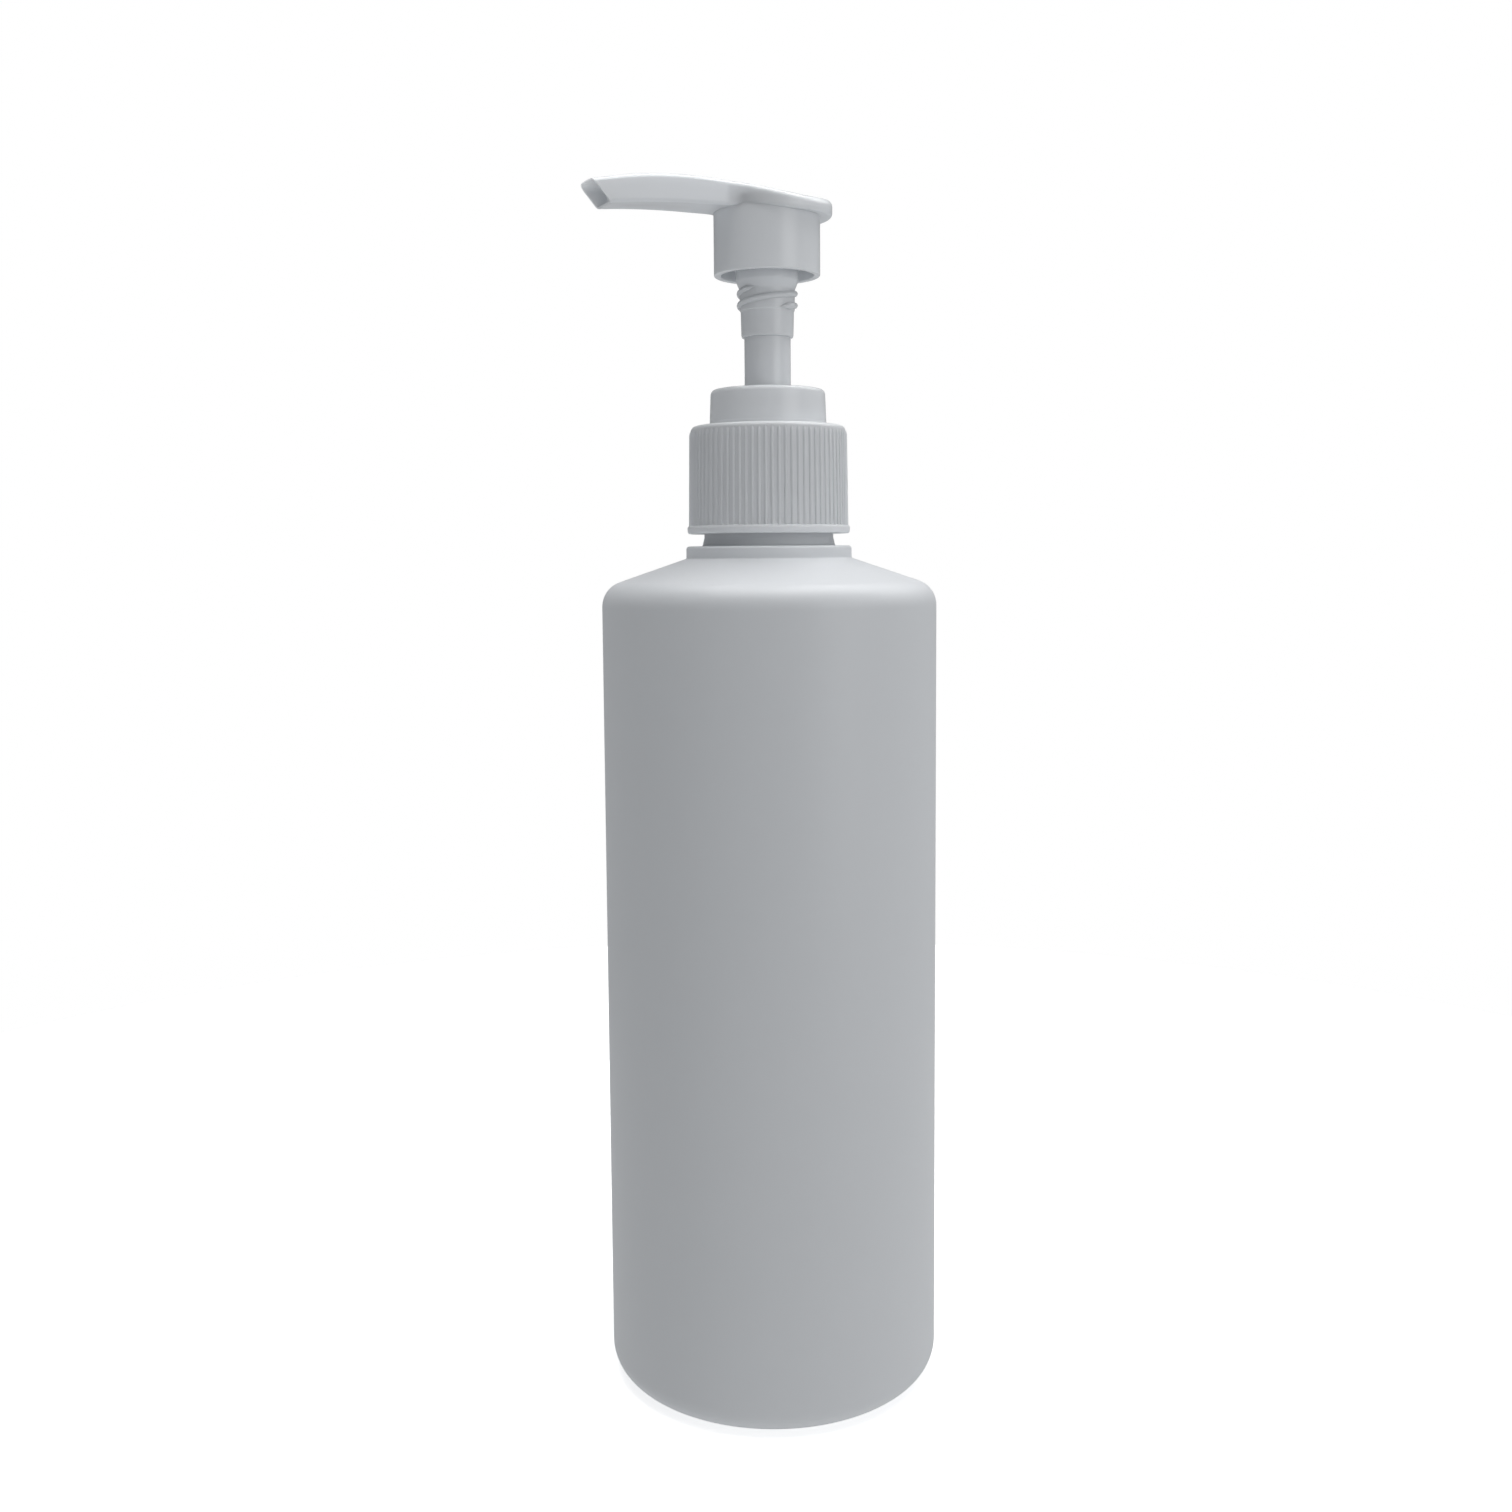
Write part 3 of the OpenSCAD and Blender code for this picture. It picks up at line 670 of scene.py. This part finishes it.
stem = {"sides": 96, "radius": 4.53, "bore": 2.6, "spigot": 3.3, "collar": 6.2, "collarHeight": 1.7}


def stemOutline():
    s = stem
    stopTop = stemFoot + s["collarHeight"]
    return roundedOutline([
        (s["bore"], stemFoot, 0.15), (s["collar"], stemFoot, 0.3), (s["collar"], stopTop, 0.3),
        (s["radius"], stopTop, 0.3), (s["radius"], headFoot, 0.1),
        (s["spigot"], headFoot, 0.1), (s["spigot"], stemTop, 0.4), (s["bore"], stemTop, 0.15),
    ])


stemPiece = makePiece("pumpStem", [latheMesh("stemTube", stemOutline(), evenAngles(stem["sides"]))], "pumpGloss")
settle(stemPiece, "plunger", "piston_stem")


spring = {"turns": 7.5, "radius": 4.7, "halfDepth": 0.5, "halfWidth": 0.5, "fade": 0.0, "dead": 0.8}
wire = spring["halfDepth"]
spring["lead"] = (springTop - springFoot - 2 * wire) / spring["turns"]
springMesh = threadMesh("springCoil", spring, springFoot + wire, "springWire")
springPiece = makePiece("returnSpring", [springMesh], "springWire")
settle(springPiece, "spring_seat", "return_spring")
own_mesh(springPiece)


head = {
    # seen from above: a disc at the rear that runs out into the spout
    "discRadius": 11.5, "back": 12.9, "reach": 37.2, "tipHalf": 3.65, "rootExtra": 1.4, "blend": 4.5,
    "discSpokes": 40, "blendSpokes": 12, "spoutSpokes": 48,
    # seen from the side: straight behind each bend, and on an arc in front of it
    "plate": skirtFoot + 12.3, "plateHeight": 3.9,
    "rise": 4.0, "bend": 6.0, "topRadius": 105.0,
    "fall": 1.1, "underBend": 17.0, "underRadius": 160.0,
    "crown": 0.016, "sink": 0.25, "rearSink": 1.22, "rearDrop": 1.05,
    "topEdge": 1.15, "lowEdge": 0.7, "lean": 41.0, "leanFrom": 18.0,
    # the mouth and the channel behind it
    "mouthWall": 0.5, "mouthDepth": 3.2, "channel": 1.7, "channelSlope": 3.2, "channelDepth": 14.0,
    # below the plate: skirt, shank, threaded neck, sleeve, and the socket for the stem
    "sides": 160, "plateOverlap": 1.4, "skirtRadius": 10.35, "skirtInner": 9.05, "roof": 1.0,
    "shank": 6.1, "shankDrop": 0.9, "coneDrop": 2.6, "threadRoot": 5.35, "neckDrop": 6.6,
    "sleeve": 5.1, "sleeveDrop": 6.75, "sleeveTaper": 0.12,
    "socket": 3.35, "socketDepth": 9.7, "riser": 2.4, "riserRoof": 1.6,
    "thread": {
        "turns": 0.87, "lead": lock["lead"], "radius": 5.27, "halfDepth": 0.7, "halfWidth": 0.62,
        "starts": 2, "fade": 0.06,
    },
    "threadBelowMark": 0.8,
}


def easeBetween(s, begin, end):
    # 0 before begin and 1 past end, with an even change between them
    t = max(0.0, min(1.0, (begin - s) / (begin - end)))
    return t * t * (3 - 2 * t)


def topHeight(s, y):
    # s runs from the axis towards the tip, and y across
    h = head
    slope = math.radians(h["rise"])
    straight = h["plate"] + h["plateHeight"] + (min(s, h["bend"]) + h["back"]) * math.tan(slope)
    if s > h["bend"]:
        across = s - h["bend"] - h["topRadius"] * math.sin(slope)
        straight += math.sqrt(h["topRadius"] ** 2 - across ** 2) - h["topRadius"] * math.cos(slope)
    return straight - h["sink"] - h["rearSink"] * easeBetween(s, 30, -6) - h["crown"] * y * y


def underHeight(s):
    h = head
    slope = math.radians(h["fall"])
    straight = h["plate"] - (min(s, h["underBend"]) + h["back"]) * math.tan(slope)
    if s > h["underBend"]:
        across = s - h["underBend"] + h["underRadius"] * math.sin(slope)
        straight += math.sqrt(h["underRadius"] ** 2 - across ** 2) - h["underRadius"] * math.cos(slope)
    return straight - h["rearDrop"] * easeBetween(s, 10, -2)


def plateSpokes():
    # pairs (middle s, rim point) from the rear round one side to the tip
    h = head
    discMiddle = h["discRadius"] - h["back"]
    root = h["tipHalf"] + h["rootExtra"]
    reach = h["discRadius"] + h["blend"]
    blendAt = math.sqrt(reach ** 2 - (root + h["blend"]) ** 2)
    touch = math.atan2(root + h["blend"], blendAt)
    spokes = []
    for i in range(h["discSpokes"] + 1):
        a = math.pi + (touch - math.pi) * i / h["discSpokes"]
        rim = Vector((discMiddle + h["discRadius"] * math.cos(a), h["discRadius"] * math.sin(a)))
        spokes.append((discMiddle, rim))
    blendEnd = discMiddle + blendAt
    for i in range(1, h["blendSpokes"] + 1):
        t = i / h["blendSpokes"]
        a = math.pi + touch + (math.pi / 2 - touch) * t
        rim = Vector((blendEnd + h["blend"] * math.cos(a), root + h["blend"] + h["blend"] * math.sin(a)))
        spokes.append((discMiddle + (blendEnd - discMiddle) * t, rim))
    for i in range(1, h["spoutSpokes"] + 1):
        t = i / h["spoutSpokes"]
        s = blendEnd + (h["reach"] - blendEnd) * t
        spokes.append((s, Vector((s, root + (h["tipHalf"] - root) * t))))
    return spokes


def leanAt(s):
    # how far a section leans for each mm of depth; the tip is cut off on the slant
    h = head
    t = max(0.0, min(1.0, (s - h["leanFrom"]) / (h["reach"] - h["leanFrom"])))
    return math.tan(math.radians(h["lean"])) * t * t


settleRounds = 8


def spokeProfile(middle, rim):
    # half a section of the plate from the top middle round the rim to the under middle, as (s, y, z)
    h = head
    outward = rim - Vector((middle, 0))
    width = outward.length
    outward.normalize()
    topEdge, lowEdge = h["topEdge"], h["lowEdge"]

    # marks are (way out from the middle, face, drop from that face): top, its edge, rim, lower edge, under
    marks = [((width - topEdge) * k / 7, "top", 0) for k in range(8)]
    for k in range(1, 9):
        a = math.pi / 2 * k / 8
        marks.append((width - topEdge + topEdge * math.sin(a), "top", topEdge * (1 - math.cos(a))))
    marks += [(width, "mix", k / 4) for k in range(1, 4)]
    for k in range(7):
        a = math.pi / 2 * k / 6
        marks.append((width - lowEdge + lowEdge * math.cos(a), "under", lowEdge * (1 - math.sin(a))))
    marks += [((width - lowEdge) * (1 - k / 6), "under", 0) for k in range(1, 7)]

    points = []
    tilt = leanAt(middle)
    reference = topHeight(middle, 0)
    for off, side, drop in marks:
        y = outward.y * off
        s = z = middle + outward.x * off
        for _ in range(settleRounds):    # height and lean depend on each other
            top = topHeight(s, y)
            under = underHeight(s)
            if side == "top":
                z = top - drop
            elif side == "under":
                z = under + drop
            else:
                z = (top - topEdge) * (1 - drop) + (under + lowEdge) * drop
            s = middle + outward.x * off - tilt * (reference - z)
        points.append(Vector((s, y, z)))
    return points


def plateMesh():
    h = head
    shape = bmesh.new()
    sections = [spokeProfile(*spoke) for spoke in plateSpokes()]

    def place(point, side):
        return shape.verts.new((-point.x * mm, side * point.y * mm, point.z * mm))

    sides = {side: [[place(p, side) for p in section] for section in sections] for side in (1, -1)}
    for rows in sides.values():
        for row, following in zip(rows, rows[1:]):
            for m in range(len(row) - 1):
                shape.faces.new((row[m], following[m], following[m + 1], row[m + 1]))

    # the mouth: rings that follow the tip's outline, stepping in and then back along the spout
    tip = sections[-1]
    rim = [(p, 1) for p in tip] + [(p, -1) for p in tip[-2:0:-1]]
    middle = (tip[0] + tip[-1]) / 2
    up = (tip[0] - tip[-1]).normalized()
    half = (tip[0] - tip[-1]).length / 2
    slope = math.radians(h["channelSlope"])
    back = Vector((-math.cos(slope), 0, math.sin(slope)))

    def ring(depth, inset, squeeze=1.0, roundness=0.0):
        # roundness 0 keeps the tip's outline, and 1 makes it the round channel
        made = []
        upNow = up.lerp(Vector((0, 0, 1)), min(1.0, depth / h["mouthDepth"])).normalized()
        for p, side in rim:
            y = side * p.y
            v = (p - middle).dot(up)
            y *= (h["tipHalf"] - inset) / h["tipHalf"] * squeeze
            v *= (half - inset) / half * squeeze
            a = math.atan2(v, y)
            y += (h["channel"] * math.cos(a) - y) * roundness
            v += (h["channel"] * math.sin(a) - v) * roundness
            q = middle + back * depth + upNow * v
            made.append(shape.verts.new((-q.x * mm, y * mm, q.z * mm)))
        return made

    outer = sides[1][-1] + sides[-1][-1][-2:0:-1]
    wall, depth = h["mouthWall"], h["mouthDepth"]
    rings = [
        outer, ring(0.02, 0.08), ring(0.03, 0.2), ring(0.03, wall - 0.15), ring(0.12, wall - 0.04),
        ring(0.6, wall + 0.05), ring(depth, wall + 0.15, 0.9), ring(depth + 0.1, wall + 0.4, 0.82),
        ring(depth + 0.15, 0, 1.0, 1.0), ring(depth + h["channelDepth"], 0, 1.0, 1.0),
    ]
    for a, b in zip(rings, rings[1:]):
        for i in range(len(a)):
            j = (i + 1) % len(a)
            shape.faces.new((a[i], a[j], b[j], b[i]))
    shape.faces.new(rings[-1])
    bmesh.ops.remove_doubles(shape, verts=shape.verts, dist=1e-7)
    bmesh.ops.dissolve_degenerate(shape, edges=shape.edges, dist=1e-7)
    bmesh.ops.recalc_face_normals(shape, faces=shape.faces)
    mesh = bpy.data.meshes.new("headPlate")
    shape.to_mesh(mesh)
    shape.free()
    return mesh


def shankOutline():
    h = head
    top = h["plate"] + h["plateOverlap"]
    ceiling = top - h["roof"]
    socketTop = headFoot + h["socketDepth"]
    riserTop = top - h["riserRoof"]
    return roundedOutline([
        (0, top, 0), (h["skirtRadius"], top, 0),
        (h["skirtRadius"], skirtFoot, 0.3), (h["skirtInner"], skirtFoot, 0.3),
        (h["skirtInner"], ceiling, 0.3), (h["shank"], ceiling, 0.3),
        (h["shank"], skirtFoot - h["shankDrop"], 1.2),
        (h["threadRoot"] + 0.05, skirtFoot - h["coneDrop"], 0.8),
        (h["threadRoot"], skirtFoot - h["neckDrop"], 0.15),
        (h["sleeve"] + 0.1, skirtFoot - h["sleeveDrop"], 0.15), (h["sleeve"], headFoot + 0.5, 0.3),
        (h["sleeve"] - h["sleeveTaper"], headFoot, 0.15),
        (h["socket"], headFoot, 0.1), (h["socket"], socketTop, 0.1),
        (h["riser"], socketTop, 0.1), (h["riser"], riserTop, 0.3), (0, riserTop, 0),
    ])


headThreadFoot = lock["height"] - head["threadBelowMark"]
headThread = threadMesh(
    "headThread", head["thread"], headThreadFoot, "pumpGloss", start=lockAngle(headThreadFoot)
)
headShank = latheMesh("headShank", shankOutline(), evenAngles(head["sides"]))
headPiece = makePiece("pumpHead", [plateMesh(), headShank, headThread], "pumpGloss")
settle(headPiece, "head", "actuator_head")


innerFinishes = {
    "gasket": "sealFoam", "pump_housing": "naturalPlastic", "dip_tube": "naturalPlastic",
    "spring_seat": "naturalPlastic", "inlet_ball": "polishedBall", "piston_rod": "naturalPlastic",
    "piston_seal": "sealPlastic",
}
for node, finish in innerFinishes.items():
    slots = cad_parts[node].data.materials
    slots.clear()
    slots.append(materials[finish])
print("inner pieces:", len(innerFinishes))


studio = {     # lengths in metres
    "floorRadius": 0.35, "floorColor": (0.9, 0.9, 0.9, 1), "floorRoughness": 0.9, "floorGlow": 0.6,
    "skyAbove": 0.22, "skyBelow": 0.50, "skyBlend": 0.15, "skyColor": (0.96, 0.98, 1, 1), "backdrop": 1.0,
    "aim": (0, 0, 0.12),
}
softboxes = {     # place, width and height in metres, and power in watts
    "overheadSoftbox": {"place": (0.02, 0.04, 0.8), "size": (0.6, 0.6), "power": 3.9},
    "highRightSoftbox": {"place": (0.514, 0.027, 0.75), "size": (0.5, 0.5), "power": 1.45},
    "frontRightSoftbox": {"place": (0.32, -0.824, 0.3), "size": (0.5, 0.6), "power": 1.45},
    "floorBounce": {"place": (0, 0, 0.001), "size": (0.45, 0.45), "power": 0.1},
    "smallHighLamp": {"place": (-0.577, -0.385, 0.9), "size": (0.045, 0.045), "power": 0.12},
}


def makeFloor():
    # the floor lights nothing itself: the sky from below stands for its bounce
    shape = bmesh.new()
    bmesh.ops.create_circle(shape, cap_ends=True, segments=96, radius=studio["floorRadius"])
    mesh = bpy.data.meshes.new("floor")
    shape.to_mesh(mesh)
    shape.free()
    floor = bpy.data.objects.new("floor", mesh)
    scene.collection.objects.link(floor)
    floor.visible_diffuse = False
    floor.visible_glossy = False
    material = bpy.data.materials.new("paleFloor")
    material.use_nodes = True
    shader = material.node_tree.nodes["Principled BSDF"]
    shader.inputs["Base Color"].default_value = studio["floorColor"]
    shader.inputs["Roughness"].default_value = studio["floorRoughness"]
    shader.inputs["Emission Color"].default_value = (1, 1, 1, 1)
    shader.inputs["Emission Strength"].default_value = studio["floorGlow"]
    mesh.materials.append(material)


def makeSky():
    # a plain white backdrop for the camera, and a soft sky that lights the object from above and below
    world = bpy.data.worlds.new("studio")
    scene.world = world
    world.use_nodes = True
    tree = world.node_tree
    tree.nodes.clear()
    direction = addNode(tree, "ShaderNodeTexCoord").outputs["Generated"]
    height = addNode(tree, "ShaderNodeSeparateXYZ", {0: direction}).outputs[2]
    glow = addNode(
        tree,
        "ShaderNodeMapRange",
        {
            "Value": height, "From Min": -studio["skyBlend"], "From Max": studio["skyBlend"],
            "To Min": studio["skyBelow"], "To Max": studio["skyAbove"],
        },
    )
    lit = addNode(tree, "ShaderNodeBackground", {"Color": studio["skyColor"], "Strength": glow.outputs[0]})
    seen = addNode(tree, "ShaderNodeBackground", {"Color": (1, 1, 1, 1), "Strength": studio["backdrop"]})
    ray = addNode(tree, "ShaderNodeLightPath").outputs["Is Camera Ray"]
    both = addNode(tree, "ShaderNodeMixShader", {0: ray, 1: lit.outputs[0], 2: seen.outputs[0]})
    end = addNode(tree, "ShaderNodeOutputWorld")
    tree.links.new(both.outputs[0], end.inputs[0])


def addSoftbox(name, place, size, power):
    # every lamp faces the middle of the object
    light = bpy.data.lights.new(name, "AREA")
    light.shape = "RECTANGLE"
    light.size, light.size_y = size
    light.energy = power
    lamp = bpy.data.objects.new(name, light)
    scene.collection.objects.link(lamp)
    lamp.location = place
    way = Vector(studio["aim"]) - Vector(place)
    lamp.rotation_euler = way.to_track_quat("-Z", "Y").to_euler()
    lamp.visible_camera = False


makeFloor()
makeSky()
for name, box in softboxes.items():
    addSoftbox(name, **box)
scene.view_settings.view_transform = "Standard"

camera = {
    "spot": (-141.2, -282.6, 165.1), "turn": -26.05, "tilt": -5.28, "roll": 0.41,
    "lens": 37.83, "shiftY": -0.037,
}


def makeCamera():
    lens = bpy.data.cameras.new("camera")
    lens.lens = camera["lens"]
    lens.shift_y = camera["shiftY"]
    eye = bpy.data.objects.new("camera", lens)
    scene.collection.objects.link(eye)
    turn, tilt, roll = (math.radians(camera[key]) for key in ("turn", "tilt", "roll"))
    eye.matrix_world = (
        Matrix.Translation(Vector(camera["spot"]) * mm)
        @ Matrix.Rotation(turn, 4, "Z")
        @ Matrix.Rotation(math.pi / 2 + tilt, 4, "X")
        @ Matrix.Rotation(-roll, 4, "Z")
    )
    scene.camera = eye


makeCamera()
print("stage, lights and camera ready")
